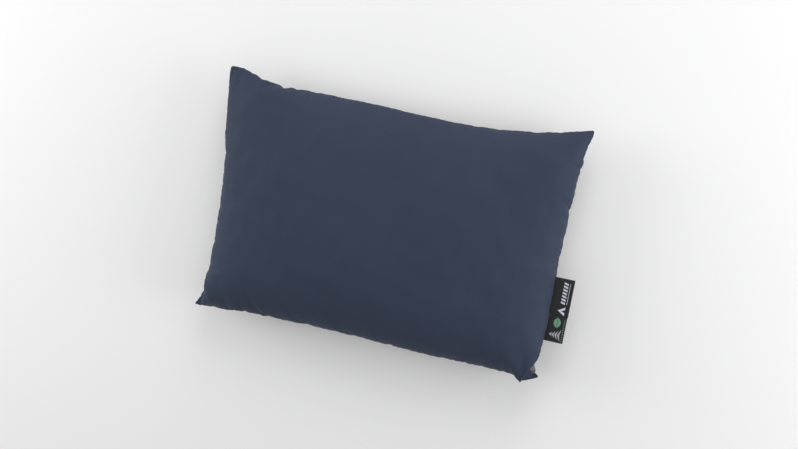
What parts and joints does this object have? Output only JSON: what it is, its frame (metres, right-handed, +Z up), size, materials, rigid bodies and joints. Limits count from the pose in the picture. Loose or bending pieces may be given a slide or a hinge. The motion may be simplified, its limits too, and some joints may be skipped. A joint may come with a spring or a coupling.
{
  "type": "camp pillow",
  "caption": "Rectangular fibre-stuffed camp pillow with a smooth face, a soft back and two folded labels sewn into one seam.",
  "frame": {"origin": "centre of the flat patch of the back panel that the pillow rests on", "axes": "+X along the long side towards the labels, +Y towards the top edge, +Z up through the front panel"},
  "size_m": [0.5062, 0.342, 0.108],
  "materials": {
    "front_fabric": "matt navy polyester with a very faint sheen",
    "back_fabric": "brushed cool-grey microfibre",
    "fibre": "white polyester fibre",
    "seam_thread": "spun polyester sewing thread",
    "overlock_thread": "fluffy overlock thread",
    "label_ribbon": "black woven ribbon"
  },
  "bodies": {
    "pillow": {"front_panel": "front_fabric", "back_panel": "back_fabric", "fibre_fill": "fibre", "needle_thread": "seam_thread", "bobbin_thread": "seam_thread", "overlock_thread": "overlock_thread", "closing_stitch": "seam_thread"},
    "upper_tab": {"upper_label": "label_ribbon"},
    "lower_tab": {"lower_label": "label_ribbon"}
  },
  "joints": [
    {"name": "upper_label_flex", "type": "hinge", "parent": "pillow", "child": "upper_tab", "pos_m": [0.2375, -0.05025, 0.0435], "axis": [0, -1, 0], "range_deg": [-95, 95], "stiffness_Nm_per_rad": 0.0005},
    {"name": "lower_label_flex", "type": "hinge", "parent": "pillow", "child": "lower_tab", "pos_m": [0.2393, -0.0939, 0.0435], "axis": [0, -1, 0], "range_deg": [-95, 95], "stiffness_Nm_per_rad": 0.0005}
  ]
}
